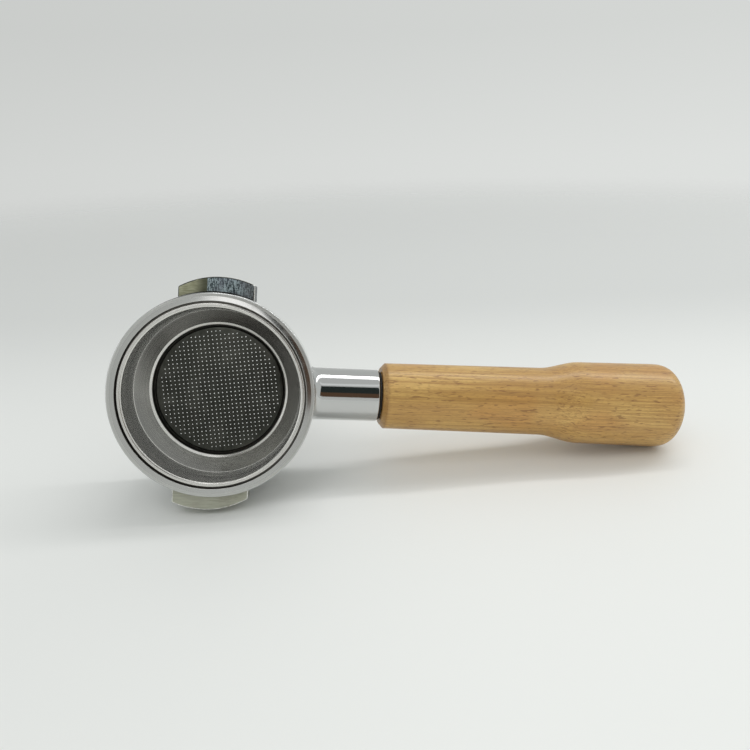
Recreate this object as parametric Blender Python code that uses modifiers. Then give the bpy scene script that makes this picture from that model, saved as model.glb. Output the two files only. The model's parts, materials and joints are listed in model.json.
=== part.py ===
"""Bottomless espresso portafilter: chromed head ring with two locking ears, a neck,
a filter basket held by a spring wire, and a turned beech handle screwed on a stud.

Everything is drawn in the head's own use frame: the rim lies in the XY plane with the
mouth towards +Z, the neck leaves towards +X and the ears stand on the Y axis. The
handle's pieces are drawn in a second frame whose +Z runs along the handle. An empty
then leans the whole assembly back until it rests on the floor plane Z = 0 on its lower
ear, the back edge of its ring and the fat end of its handle. Metres, +Z up.
"""

import math

import bmesh
import bpy
import numpy as np
from mathutils import Euler, Matrix, Vector

MM = 0.001
GAP = 0.3 * MM                      # left between pieces that touch
COLLECTION = "portafilter"

# Head ring, turned: radii about the basket axis, depths below the rim plane
RIM_R = 35.0 * MM
RIM_EDGE = 0.4 * MM                 # rounding of the outer rim edge
RIM_BEVEL_R = 33.3 * MM             # where the flat of the rim meets its inner bevel
RIM_BEVEL_DEPTH = 0.5 * MM
SEAT_R = 32.1 * MM                  # recess that takes the basket's lip
SEAT_DEPTH = 2.2 * MM
BORE_R = 30.95 * MM
BACK_R = 34.0 * MM
BACK_STEP_DEPTH = 16.0 * MM
BACK_STEP_LENGTH = 2.0 * MM
RING_HEIGHT = 34.0 * MM
BACK_EDGE = 0.5 * MM
GROOVE_DEPTH = 7.5 * MM             # centre of the spring's groove
GROOVE_HALF = 1.05 * MM
GROOVE_R = 32.5 * MM
RING_STEPS = 60

# Spring wire
WIRE_R = 0.7 * MM
SPRING_R = 31.4 * MM
SPRING_WAVE = 0.1 * MM              # three shallow lobes press on the basket
SPRING_LOBES = 3
SPRING_OPEN_DEG = 24.0              # gap between the wire's two ends
SPRING_POINTS = 43

# Filter basket, pressed from sheet
SHEET = 0.5 * MM
LIP_R = 31.7 * MM
LIP_TOP = 0.5 * MM                  # depth of the lip's top face
LIP_ROUND = 0.5 * MM
LIP_CUT = 0.3 * MM                  # small chamfer under the lip
WALL_R = 29.85 * MM                 # inside radius
MOUTH_ROUND = 0.7 * MM
BEAD_DEPTH = 10.4 * MM
BEAD_HALF = 1.5 * MM
BEAD_RISE = 0.3 * MM
WALL_DEPTH = 13.3 * MM              # where the wall turns into the shoulder
SHOULDER_R = 24.95 * MM
WALL_FOOT_WIDTH = 0.8 * MM           # fillet between the wall and the shoulder
WALL_FOOT_DEPTH = 1.3 * MM
SHOULDER_DEPTH = 19.2 * MM
WELL_R = 24.1 * MM
WELL_LEAD = 0.6 * MM                # depth of the slope from the shoulder into the well
BASE_DEPTH = 21.8 * MM
BASE_ROUND = 1.1 * MM
BASKET_STEPS = 60

# Locking ears
EAR_HALF_WIDTH = 13.0 * MM
EAR_ARC_R = 28.9 * MM
EAR_ARC_CENTRE = 11.6 * MM          # distance of the arc's centre from the basket axis
EAR_ARC_SHIFT = 1.55 * MM           # arc's centre off the ear's middle, away from its leading end
EAR_FRONT = 4.0 * MM
EAR_BACK = 12.6 * MM
EAR_LEAD_START = 3.0 * MM           # where the front lead-in slope begins
EAR_LEAD_DROP = 1.2 * MM
EAR_SEAT_LEAD_START = 6.5 * MM
EAR_SEAT_LEAD_RISE = 1.4 * MM
EAR_EDGE = 0.35 * MM
EAR_ARC_STEPS = 14

# Neck, about the handle axis, distances from where that axis crosses the rim radius
HANDLE_DROOP = math.radians(3.0)
NECK_DEPTH = 22.0 * MM
NECK_R = 9.75 * MM
NECK_END = 23.45 * MM
NECK_END_EDGE = 0.6 * MM
NECK_ROOT_R = 11.6 * MM
NECK_BLEND = 2.4 * MM
NECK_ROOT_BACK = 4.0 * MM           # how far the neck runs in before the ring cuts it
SOCKET_R = 6.08 * MM
SOCKET_LENGTH = 15.0 * MM
SOCKET_POINT = 3.0 * MM             # cone left by the drill at the socket's bottom
RING_CUTTER_HEIGHT = 100.0 * MM
NECK_STEPS = 40

# Handle, distances from the neck's end face
STUD_R = 6.0 * MM
STUD_IN_NECK = 12.0 * MM
STUD_IN_HANDLE = 40.0 * MM
STUD_EDGE = 0.8 * MM
WASHER_START = 0.15 * MM
WASHER_THICK = 0.8 * MM
WASHER_R = 9.0 * MM
WASHER_BORE_R = 6.4 * MM
INSERT_START = 1.6 * MM
INSERT_LENGTH = 28.0 * MM
INSERT_R = 8.2 * MM
INSERT_BORE_R = 6.3 * MM
GRIP_START = 1.1 * MM
GRIP_FACE_R = 10.6 * MM
GRIP_CHAMFER = 1.6 * MM
GRIP_FRONT_R = 12.45 * MM
GRIP_WAIST_R = 13.25 * MM
GRIP_FAT_R = 16.15 * MM
GRIP_TAIL_R = 16.7 * MM
GRIP_FLARE_START = 64.5 * MM
GRIP_FLARE_END = 81.0 * MM
GRIP_TAIL_START = 111.5 * MM
GRIP_END = 121.2 * MM
GRIP_TAIL_POWER = 3.0               # squareness of the rounded end
GRIP_CAVITY_DEPTH = 43.0 * MM
GRIP_STEPS = 40
SMALL_STEPS = 32

CRISP_ANGLE = math.radians(35.0)    # edges sharper than this stay crisp
WELD_DISTANCE = 0.01 * MM

# Search for the resting pose: starting lean and roll, finite step, number of rounds
REST_GUESS = (0.33, -0.08)
REST_STEP = 1e-5
REST_ROUNDS = 40


# ---------------------------------------------------------------- helpers

def clear_scene():
    for obj in list(bpy.data.objects):
        bpy.data.objects.remove(obj, do_unlink=True)


def collection(name):
    found = bpy.data.collections.get(name) or bpy.data.collections.new(name)
    if name not in bpy.context.scene.collection.children:
        bpy.context.scene.collection.children.link(found)
    return found


def add_object(name, data, home, parent):
    obj = bpy.data.objects.new(name, data)
    home.objects.link(obj)
    obj.parent = parent
    return obj


def material(name, colour, roughness, metallic):
    mat = bpy.data.materials.new(name)
    mat.use_nodes = True
    shader = mat.node_tree.nodes["Principled BSDF"]
    shader.inputs["Base Color"].default_value = (*colour, 1.0)
    shader.inputs["Roughness"].default_value = roughness
    shader.inputs["Metallic"].default_value = metallic
    return mat


def arc(centre_r, centre_z, radius, start_deg, end_deg, steps):
    """Points on a circular arc in the profile plane, both ends included."""
    angles = np.radians(np.linspace(start_deg, end_deg, steps + 1))
    return [(centre_r + radius * math.cos(a), centre_z + radius * math.sin(a)) for a in angles]


def bake(obj, smooth=True):
    """Replaces an object's data with its evaluated mesh and marks crisp edges."""
    depsgraph = bpy.context.evaluated_depsgraph_get()
    mesh = bpy.data.meshes.new_from_object(obj.evaluated_get(depsgraph))
    obj.modifiers.clear()
    obj.data = mesh
    if smooth:
        mesh.shade_smooth()
        mesh.set_sharp_from_angle(angle=CRISP_ANGLE)


def turned(name, profile, steps, home, parent, closed):
    """A solid of revolution about local Z. The profile is a list of (radius, z) points that
    runs down the outer side; closed profiles join their last point to their first."""
    mesh = bpy.data.meshes.new(name)
    outline = bmesh.new()
    points = [outline.verts.new((r, 0.0, z)) for r, z in profile]
    for first, second in zip(points, points[1:]):
        outline.edges.new((first, second))
    if closed:
        outline.edges.new((points[-1], points[0]))
    outline.to_mesh(mesh)
    outline.free()
    obj = add_object(name, mesh, home, parent)
    screw = obj.modifiers.new("turning", "SCREW")
    screw.axis = "Z"
    screw.angle = math.tau
    screw.steps = steps
    screw.render_steps = steps
    screw.use_merge_vertices = True
    screw.merge_threshold = WELD_DISTANCE
    bpy.context.view_layer.update()
    bake(obj)
    return obj


def extruded(name, outline, low, high, home, parent):
    """A prism: a flat outline in the XY plane carried from z = low to z = high."""
    mesh = bpy.data.meshes.new(name)
    shape = bmesh.new()
    face = shape.faces.new([shape.verts.new((x, y, low)) for x, y in outline])
    raised = bmesh.ops.extrude_face_region(shape, geom=[face])
    for vert in (g for g in raised["geom"] if isinstance(g, bmesh.types.BMVert)):
        vert.co.z = high
    bmesh.ops.recalc_face_normals(shape, faces=shape.faces[:])
    shape.to_mesh(mesh)
    shape.free()
    return add_object(name, mesh, home, parent)


# ---------------------------------------------------------------- profiles

def ring_profile():
    """Cross-section of the head ring, from the rim's flat down the outside and back up the bore."""
    outside = arc(RIM_R - RIM_EDGE, -RIM_EDGE, RIM_EDGE, 90, 0, 2)
    outside += [
        (RIM_R, -BACK_STEP_DEPTH),
        (BACK_R, -BACK_STEP_DEPTH - BACK_STEP_LENGTH),
        (BACK_R, -RING_HEIGHT + BACK_EDGE),
        (BACK_R - BACK_EDGE, -RING_HEIGHT),
    ]
    bore = [
        (BORE_R + BACK_EDGE, -RING_HEIGHT),
        (BORE_R, -RING_HEIGHT + BACK_EDGE),
        (BORE_R, -GROOVE_DEPTH - GROOVE_HALF),
        (GROOVE_R, -GROOVE_DEPTH - GROOVE_HALF),
        (GROOVE_R, -GROOVE_DEPTH + GROOVE_HALF),
        (BORE_R, -GROOVE_DEPTH + GROOVE_HALF),
        (BORE_R, -SEAT_DEPTH),
        (SEAT_R, -SEAT_DEPTH),
        (SEAT_R, -RIM_BEVEL_DEPTH),
        (RIM_BEVEL_R, 0.0),
    ]
    return outside + bore


def basket_inside():
    """Inner surface of the basket from the lip's flat down to the axis."""
    mouth_r = WALL_R + MOUTH_ROUND
    points = arc(mouth_r, -LIP_TOP - MOUTH_ROUND, MOUTH_ROUND, 90, 180, 3)
    points += [
        (WALL_R, -BEAD_DEPTH + BEAD_HALF),
        (WALL_R + BEAD_RISE, -BEAD_DEPTH + BEAD_HALF / 3),
        (WALL_R + BEAD_RISE, -BEAD_DEPTH - BEAD_HALF / 3),
        (WALL_R, -BEAD_DEPTH - BEAD_HALF),
        (WALL_R, -WALL_DEPTH),
        (WALL_R - WALL_FOOT_WIDTH, -WALL_DEPTH - WALL_FOOT_DEPTH),
        (SHOULDER_R, -SHOULDER_DEPTH),
        (WELL_R, -SHOULDER_DEPTH - WELL_LEAD),
    ]
    points += arc(WELL_R - BASE_ROUND, -BASE_DEPTH + BASE_ROUND, BASE_ROUND, 0, -90, 3)
    points.append((0.0, -BASE_DEPTH))
    return points


def thickened(points, distance):
    """The same line moved sideways by a distance, on the left of its direction of travel."""
    line = np.array(points)
    step = np.diff(line, axis=0)
    step /= np.linalg.norm(step, axis=1)[:, None]
    side = np.stack([-step[:, 1], step[:, 0]], axis=1)
    moved = []
    for i, point in enumerate(line):
        before = side[max(i - 1, 0)]
        after = side[min(i, len(side) - 1)]
        half = before + after
        moved.append(point + half * (2 * distance / half.dot(half)))
    return moved


def basket_profile():
    """Basket section from the middle of its base up the inside, over the rolled lip and down
    the outside to the middle of its underside."""
    inside = basket_inside()
    outside = [tuple(point) for point in thickened(inside[3:], SHEET)]
    outside[-1] = (0.0, outside[-1][1])
    lip_bottom = -SEAT_DEPTH + GAP
    lip = arc(LIP_R - LIP_ROUND, -LIP_TOP - LIP_ROUND, LIP_ROUND, 90, 0, 3)
    lip += [(LIP_R, lip_bottom + LIP_CUT), (LIP_R - LIP_CUT, lip_bottom)]
    lip.append((WALL_R + SHEET, lip_bottom))
    return inside[::-1] + lip + outside[1:]


def ear_outline(sign):
    """Ear seen along the basket axis: a flat-flanked tab with an arched outer end and a
    hollow inner end that clears the ring."""
    outer = []
    for x in np.linspace(-EAR_HALF_WIDTH, EAR_HALF_WIDTH, EAR_ARC_STEPS + 1):
        rise = math.sqrt(EAR_ARC_R ** 2 - (x - EAR_ARC_SHIFT) ** 2)
        outer.append((x, EAR_ARC_CENTRE + rise))
    inner_r = RIM_R + GAP
    reach = math.asin(EAR_HALF_WIDTH / inner_r)
    inner = []
    for a in np.linspace(reach, -reach, EAR_ARC_STEPS + 1):
        inner.append((inner_r * math.sin(a), inner_r * math.cos(a)))
    return [(sign * x, sign * y) for x, y in outer + inner]


def neck_profile():
    """Outside of the neck from its root blend to its end face, then the stud's socket."""
    sweep = np.linspace(0.0, 1.0, 5)
    blend = [
        (NECK_R + (NECK_ROOT_R - NECK_R) * (1 - math.sin(t * math.pi / 2)), t * NECK_BLEND)
        for t in sweep
    ]
    outside = [(0.0, -NECK_ROOT_BACK), (NECK_ROOT_R, -NECK_ROOT_BACK)] + blend
    outside += [(NECK_R, NECK_END - NECK_END_EDGE), (NECK_R - NECK_END_EDGE, NECK_END)]
    socket = [
        (SOCKET_R, NECK_END),
        (SOCKET_R, NECK_END - SOCKET_LENGTH),
        (0.0, NECK_END - SOCKET_LENGTH - SOCKET_POINT),
    ]
    return (outside + socket)[::-1]


def grip_radius(z):
    """Outer radius of the turned wood at a distance from the neck's end face."""
    chamfer_end = GRIP_START + GRIP_CHAMFER
    if z <= chamfer_end:
        return GRIP_FACE_R + (GRIP_FRONT_R - GRIP_FACE_R) * (z - GRIP_START) / GRIP_CHAMFER
    if z <= GRIP_FLARE_START:
        along = (z - chamfer_end) / (GRIP_FLARE_START - chamfer_end)
        return GRIP_FRONT_R + (GRIP_WAIST_R - GRIP_FRONT_R) * along
    if z <= GRIP_FLARE_END:
        along = (z - GRIP_FLARE_START) / (GRIP_FLARE_END - GRIP_FLARE_START)
        return GRIP_WAIST_R + (GRIP_FAT_R - GRIP_WAIST_R) * along * along * (3 - 2 * along)
    if z <= GRIP_TAIL_START:
        along = (z - GRIP_FLARE_END) / (GRIP_TAIL_START - GRIP_FLARE_END)
        return GRIP_FAT_R + (GRIP_TAIL_R - GRIP_FAT_R) * along
    along = (z - GRIP_TAIL_START) / (GRIP_END - GRIP_TAIL_START)
    return GRIP_TAIL_R * max(0.0, 1 - along ** GRIP_TAIL_POWER) ** (1 / GRIP_TAIL_POWER)


def grip_profile():
    """The wood's outside from its far end to its front face, then the cavity inwards."""
    tail = GRIP_END - GRIP_TAIL_START
    stations = [GRIP_TAIL_START + tail * math.sin(t * math.pi / 2) for t in np.linspace(1, 0, 8)]
    stations += list(np.linspace(GRIP_FLARE_END, GRIP_FLARE_START, 7))
    stations += [(GRIP_FLARE_START + GRIP_START) / 2, GRIP_START + GRIP_CHAMFER, GRIP_START]
    outside = [(grip_radius(z), z) for z in stations]
    outside[0] = (0.0, GRIP_END)
    cavity_r = INSERT_R + GAP
    stud_r = STUD_R + GAP
    insert_end = INSERT_START + INSERT_LENGTH + GAP
    cavity = [
        (cavity_r, GRIP_START),
        (cavity_r, insert_end),
        (stud_r, insert_end),
        (stud_r, GRIP_CAVITY_DEPTH),
        (0.0, GRIP_CAVITY_DEPTH),
    ]
    return outside + cavity


# ---------------------------------------------------------------- pieces

def make_spring(home, parent):
    """Open ring of round wire with three shallow lobes, lying in the bore's groove."""
    half_open = math.radians(SPRING_OPEN_DEG) / 2
    curve = bpy.data.curves.new("basket_spring", "CURVE")
    curve.dimensions = "3D"
    curve.bevel_depth = WIRE_R
    curve.bevel_resolution = 2
    curve.use_fill_caps = True
    spline = curve.splines.new("POLY")
    spline.points.add(SPRING_POINTS - 1)
    sweep = np.linspace(half_open, math.tau - half_open, SPRING_POINTS)
    for point, angle in zip(spline.points, sweep):
        radius = SPRING_R + SPRING_WAVE * math.cos(SPRING_LOBES * angle)
        point.co = (radius * math.cos(angle), radius * math.sin(angle), -GROOVE_DEPTH, 1.0)
    wire = add_object("basket_spring_curve", curve, home, parent)
    bpy.context.view_layer.update()
    depsgraph = bpy.context.evaluated_depsgraph_get()
    mesh = bpy.data.meshes.new_from_object(wire.evaluated_get(depsgraph))
    welded = bmesh.new()
    welded.from_mesh(mesh)
    bmesh.ops.remove_doubles(welded, verts=welded.verts[:], dist=WELD_DISTANCE)
    bmesh.ops.recalc_face_normals(welded, faces=welded.faces[:])
    welded.to_mesh(mesh)
    welded.free()
    mesh.shade_smooth()
    bpy.data.objects.remove(wire, do_unlink=True)
    return add_object("basket_spring", mesh, home, parent)


def make_ear(name, sign, home, parent):
    """One locking ear, sloped at its leading end on the front and on the seat behind."""
    ear = extruded(name, ear_outline(sign), -EAR_BACK, -EAR_FRONT, home, parent)
    shape = bmesh.new()
    shape.from_mesh(ear.data)
    for start in (EAR_LEAD_START, EAR_SEAT_LEAD_START):
        bmesh.ops.bisect_plane(
            shape,
            geom=shape.verts[:] + shape.edges[:] + shape.faces[:],
            plane_co=(-sign * start, 0.0, 0.0),
            plane_no=(1.0, 0.0, 0.0),
        )
    for vert in shape.verts:
        lead = -sign * vert.co.x
        if vert.co.z > -(EAR_FRONT + EAR_BACK) / 2:
            along = (lead - EAR_LEAD_START) / (EAR_HALF_WIDTH - EAR_LEAD_START)
            vert.co.z -= EAR_LEAD_DROP * max(0.0, along)
        else:
            along = (lead - EAR_SEAT_LEAD_START) / (EAR_HALF_WIDTH - EAR_SEAT_LEAD_START)
            vert.co.z += EAR_SEAT_LEAD_RISE * max(0.0, along)
    shape.to_mesh(ear.data)
    shape.free()
    bevel = ear.modifiers.new("edge", "BEVEL")
    bevel.width = EAR_EDGE
    bevel.segments = 1
    bevel.limit_method = "ANGLE"
    bevel.angle_limit = math.radians(60.0)
    bpy.context.view_layer.update()
    bake(ear, smooth=False)
    return ear


def make_neck(home, cutters, handle_root, head):
    """The neck, with its root hollowed to stand against the ring's outside."""
    neck = turned("neck", neck_profile(), NECK_STEPS, home, handle_root, closed=False)
    bpy.ops.mesh.primitive_cylinder_add(
        vertices=2 * RING_STEPS, radius=RIM_R + GAP, depth=RING_CUTTER_HEIGHT
    )
    cutter = bpy.context.active_object
    cutter.name = "ring_cutter"
    for owner in list(cutter.users_collection):
        owner.objects.unlink(cutter)
    cutters.objects.link(cutter)
    cutter.parent = head
    cutter.hide_render = True
    cutter.display_type = "WIRE"
    cut = neck.modifiers.new("against_ring", "BOOLEAN")
    cut.operation = "DIFFERENCE"
    cut.solver = "EXACT"
    cut.object = cutter
    bpy.context.view_layer.update()
    bake(neck)
    return neck


def make_stud(home, parent):
    edge_r = STUD_R - STUD_EDGE
    profile = [
        (0.0, STUD_IN_HANDLE),
        (edge_r, STUD_IN_HANDLE),
        (STUD_R, STUD_IN_HANDLE - STUD_EDGE),
        (STUD_R, -STUD_IN_NECK + STUD_EDGE),
        (edge_r, -STUD_IN_NECK),
        (0.0, -STUD_IN_NECK),
    ]
    return turned("handle_stud", profile, SMALL_STEPS, home, parent, closed=False)


def make_sleeve(name, outer_r, inner_r, start, length, home, parent):
    """A plain tube about the handle axis."""
    end = start + length
    profile = [(outer_r, end), (outer_r, start), (inner_r, start), (inner_r, end)]
    return turned(name, profile, SMALL_STEPS, home, parent, closed=True)


# ---------------------------------------------------------------- resting pose

def points_in(frame, obj):
    """An object's vertices in the coordinates of the given empty, as an array."""
    bpy.context.view_layer.update()
    to_frame = frame.matrix_world.inverted() @ obj.matrix_world
    return np.array([to_frame @ v.co for v in obj.data.vertices])


def leaning(lean, roll):
    """Rotation that stands the head on edge: the mouth faces -Y, looks up by the lean
    angle, is rolled about the basket axis, and the handle heads along +X."""
    tipped = Euler((math.pi / 2 - lean, 0.0, 0.0)).to_matrix()
    rolled = tipped @ Euler((0.0, 0.0, roll)).to_matrix()
    heading = rolled @ Vector((1.0, 0.0, 0.0))
    return Euler((0.0, 0.0, -math.atan2(heading.y, heading.x))).to_matrix() @ rolled


def rest_rotation(contacts):
    """Lean and roll at which all three contact pieces touch the same level, by Newton's
    method on the two differences between their lowest points."""
    def misfit(angles):
        turn = np.array(leaning(*angles))
        lows = [(points @ turn.T)[:, 2].min() for points in contacts]
        return np.array([lows[0] - lows[1], lows[0] - lows[2]])

    angles = np.array(REST_GUESS)
    for _ in range(REST_ROUNDS):
        error = misfit(angles)
        slope = np.stack(
            [(misfit(angles + REST_STEP * unit) - error) / REST_STEP for unit in np.eye(2)],
            axis=1,
        )
        angles = angles - np.linalg.solve(slope, error)
    return leaning(*angles)


def settle(head, pieces, contacts):
    """Rotates the head's empty into its resting pose, then moves it so that the bottom
    centre of the object's box is the origin."""
    turn = rest_rotation([points_in(head, piece) for piece in contacts])
    everything = np.concatenate([points_in(head, piece) for piece in pieces])
    placed = everything @ np.array(turn).T
    low, high = placed.min(axis=0), placed.max(axis=0)
    shift = Vector((-(low[0] + high[0]) / 2, -(low[1] + high[1]) / 2, -low[2]))
    head.matrix_world = Matrix.Translation(shift) @ turn.to_4x4()
    bpy.context.view_layer.update()


# ---------------------------------------------------------------- assembly

def build():
    clear_scene()
    home = collection(COLLECTION)
    cutters = collection("cutters")

    chrome = material("chrome", (0.80, 0.80, 0.80), 0.12, 1.0)
    raw_metal = material("raw_metal", (0.52, 0.50, 0.45), 0.45, 1.0)
    stainless = material("stainless", (0.62, 0.61, 0.59), 0.25, 1.0)
    spring_steel = material("spring_steel", (0.55, 0.55, 0.56), 0.3, 1.0)
    zinc = material("zinc", (0.60, 0.60, 0.62), 0.35, 1.0)
    brass = material("brass", (0.78, 0.57, 0.25), 0.35, 1.0)
    rubber = material("rubber", (0.02, 0.02, 0.02), 0.7, 0.0)
    beech = material("beech", (0.66, 0.43, 0.22), 0.45, 0.0)

    head = add_object("use_frame", None, home, None)
    neck_root = add_object("neck_root", None, home, head)
    neck_root.location = (RIM_R, 0.0, -NECK_DEPTH)
    neck_root.rotation_euler = (0.0, math.pi / 2 + HANDLE_DROOP, 0.0)
    handle_axis = add_object("handle_axis", None, home, neck_root)
    handle_axis.location = (0.0, 0.0, NECK_END)
    bpy.context.view_layer.update()

    body_ring = turned("body_ring", ring_profile(), RING_STEPS, home, head, closed=True)
    upper_ear = make_ear("upper_ear", 1, home, head)
    lower_ear = make_ear("lower_ear", -1, home, head)
    neck = make_neck(home, cutters, neck_root, head)
    spring = make_spring(home, head)
    basket = turned("filter_basket", basket_profile(), BASKET_STEPS, home, head, closed=False)
    washer = make_sleeve(
        "neck_washer", WASHER_R, WASHER_BORE_R, WASHER_START, WASHER_THICK, home, handle_axis
    )
    stud = make_stud(home, handle_axis)
    insert = make_sleeve(
        "handle_insert", INSERT_R, INSERT_BORE_R, INSERT_START, INSERT_LENGTH, home, handle_axis
    )
    grip = turned("wooden_grip", grip_profile(), GRIP_STEPS, home, handle_axis, closed=False)

    finishes = {
        body_ring: chrome,
        neck: chrome,
        upper_ear: raw_metal,
        lower_ear: raw_metal,
        basket: stainless,
        spring: spring_steel,
        stud: zinc,
        insert: brass,
        washer: rubber,
        grip: beech,
    }
    for piece, finish in finishes.items():
        piece.data.materials.clear()
        piece.data.materials.append(finish)
    settle(head, list(finishes), [lower_ear, body_ring, grip])


build()
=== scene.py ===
import json
import math

import bmesh
import bpy
import numpy as np
from mathutils import Matrix, Vector
from mathutils.geometry import delaunay_2d_cdt


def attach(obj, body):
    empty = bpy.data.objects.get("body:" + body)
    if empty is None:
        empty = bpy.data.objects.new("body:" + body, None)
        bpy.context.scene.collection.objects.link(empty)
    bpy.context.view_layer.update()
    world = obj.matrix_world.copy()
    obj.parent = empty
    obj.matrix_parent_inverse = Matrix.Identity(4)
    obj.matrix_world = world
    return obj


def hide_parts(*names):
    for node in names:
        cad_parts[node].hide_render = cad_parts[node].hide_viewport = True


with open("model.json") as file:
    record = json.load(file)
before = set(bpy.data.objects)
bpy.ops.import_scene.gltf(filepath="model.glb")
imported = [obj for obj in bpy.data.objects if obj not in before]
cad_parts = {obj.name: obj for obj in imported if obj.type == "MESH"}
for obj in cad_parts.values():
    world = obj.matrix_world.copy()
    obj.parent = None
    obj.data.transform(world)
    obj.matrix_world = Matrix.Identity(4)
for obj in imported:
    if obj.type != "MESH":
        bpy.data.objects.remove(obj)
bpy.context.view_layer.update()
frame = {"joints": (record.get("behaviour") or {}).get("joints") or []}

# Looks of the bottomless portafilter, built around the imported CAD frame.
#
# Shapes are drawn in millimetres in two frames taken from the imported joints: the head's use
# frame (rim in the XY plane, mouth towards +Z, neck towards +X) and the handle's frame (+Z
# along the handle, origin on the neck's end face).

MM = 0.001

# Head ring (radius about the basket axis, depth below the rim plane), millimetres
RIM_R = 34.93
RIM_FRAME_R = 35.0                  # where the handle axis starts in the CAD frame
FLAT_R = 33.7
SEAT_R = 32.1
SEAT_DEPTH = 2.2
BORE_R = 30.95
BACK_R = 33.97
BACK_STEP = (16.0, 18.0)
RING_HEIGHT = 34.0
GROOVE = (6.45, 8.55)
GROOVE_R = 32.5
STEP_ROUNDING = (0.8, 1.2)          # at the start and the end of the step in its outside
RIM_FALL = 0.05                     # of the rim's outer zone towards its edge
RIM_ROUNDING = 0.45
BACK_ROUNDING = 0.5
TURNED_EDGE = 0.12                  # broken edges of the seat and the groove
SEAT_CORNER = 0.15

# Filter basket
SHEET = 0.5
LIP_R = 31.68
LIP_TOP = 0.5
WALL_R = 29.85
BEAD_DEPTH = 10.4
WALL_DEPTH = 14.5
SHOULDER_R = 24.95
SHOULDER_DEPTH = 19.2
WELL_R = 24.1
BASE_DEPTH = 21.8
BASE_FLAT_R = 22.6
MOAT_R = (23.4, 24.0)               # groove pressed round the punched base
MOAT_DEPTH = 22.6
BEAD_OUT = 0.3                      # how far the bead stands out of the wall
BEAD_HALF = 0.5                     # half the bead's height, and with its slopes
BEAD_HALF_FOOT = 1.5
LIP_UNDERSIDE = SEAT_DEPTH - 0.35
HOLE_R = 0.19
HOLE_PITCH = 1.524
HOLE_FIELD_R = 22.1
HOLE_TURN = math.radians(8.1)
HOLE_SHIFT = (0.5, 0.2)             # of the grid against the basket's axis, in pitches
HOLE_SIDES = 10

# Spring wire
WIRE_R = 0.7
WIRE_SIDES = 16
SPRING_R = 31.4
SPRING_LOBE = 0.1                   # how far its three lobes stand out
SPRING_STATIONS = 241
SPRING_DEPTH = 7.5
SPRING_OPEN = math.radians(24.0)

# Ears
EAR_HALF_WIDTH = 13.0
EAR_ARC_R = 28.87
EAR_ARC_CENTRE = 11.6
EAR_ARC_SHIFT = 1.55
EAR_FRONT = 4.0
EAR_BACK = 12.6
EAR_INNER_R = 35.12
EAR_LEAD_START = 3.0
EAR_LEAD_DROP = 1.2
EAR_SEAT_LEAD_START = 6.5
EAR_SEAT_LEAD_RISE = 1.4
EAR_STATIONS = 49                   # points along each of its arcs
EAR_BEVEL = 0.35
EAR_SHARP = math.radians(40.0)      # edges turned by more than this are softened

# Neck, distances from the ring along the handle axis
NECK_DEPTH = 22.0
NECK_R = 9.75
NECK_END = 23.45
NECK_FILLET = 1.75                  # blend into the ring: its width across the neck
NECK_FILLET_LONG = 2.7              # and along it
NECK_EDGE = 1.0                     # zone of the rounded edge at its end face
NECK_STEPS = 160
SOCKET_R = 6.2
SOCKET_LENGTH = 15.0
SOCKET_TIP = 3.0                    # the drill's cone beyond the thread
SOCKET_THREAD = 0.85                # depth of its thread

# Handle, distances from the neck's end face
THREAD_PITCH = 1.75
THREAD_STEPS = 10                   # rows of points for each turn
STUD_R = 5.95
STUD_THREAD = 0.95
STUD_CHAMFER = 0.9
STUD_SPAN = (-12.0, 40.0)
WASHER_R = (6.4, 9.0)
WASHER_SPAN = (0.15, 0.95)
INSERT_BORE_R = 6.3
INSERT_R = 8.2
INSERT_GROOVE_R = 7.5
INSERT_SPAN = (1.65, 29.5)
GRIP_START = 1.1
GRIP_FACE_R = 10.6
GRIP_CHAMFER = 1.6
GRIP_FRONT_R = 12.4
GRIP_WAIST_R = 13.2
GRIP_FAT_R = 16.1
GRIP_TAIL_R = 16.65
GRIP_FLARE = (64.5, 81.0)
GRIP_TAIL_START = 111.5
GRIP_END = 121.15
GRIP_TAIL_POWER = 3.0               # of the tail's outline, 2 would be an ellipse
GRIP_BORE_R = 8.5                   # round the sleeve
GRIP_BORE_END = 29.9
GRIP_PILOT_R = 6.3                  # round the stud beyond the sleeve
GRIP_PILOT_END = 43.0
GRIP_STEPS = 192

# Camera (metres, degrees: heading towards +X of +Y, pitch down, roll)
CAMERA_PLACE = (-0.02909, -0.22918, 0.12955)
CAMERA_TURN = (3.609, 21.317, 1.591)
CAMERA_SENSOR = 36.0
CAMERA_LENS = 32.08

# Surroundings: metres and linear colours
FLOOR_HALF = 4.0
FLOOR_FADE = (0.35, 1.3)            # distances over which the floor gives way to the backdrop
SKY = [                             # height from straight down (0) to straight up (1), colour
    (0.0, (0.70, 0.71, 0.70)),
    (0.47, (0.66, 0.675, 0.66)),
    (0.55, (0.60, 0.615, 0.60)),
    (0.70, (0.60, 0.62, 0.605)),
    (1.0, (0.60, 0.61, 0.60)),
]
SKY_STRENGTH = (0.96, 1.12)         # at the left and at the right
CARD_CENTRE_HEIGHT = 0.04

ROUND_STEPS = 256                   # sides of a turned piece
CORNER_HOLD = 0.05                  # straight run beside a corner's arc
CORNER_SHARE = 0.45                 # of the shorter side that a corner's arc may take


# ---------------------------------------------------------------- frames

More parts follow.
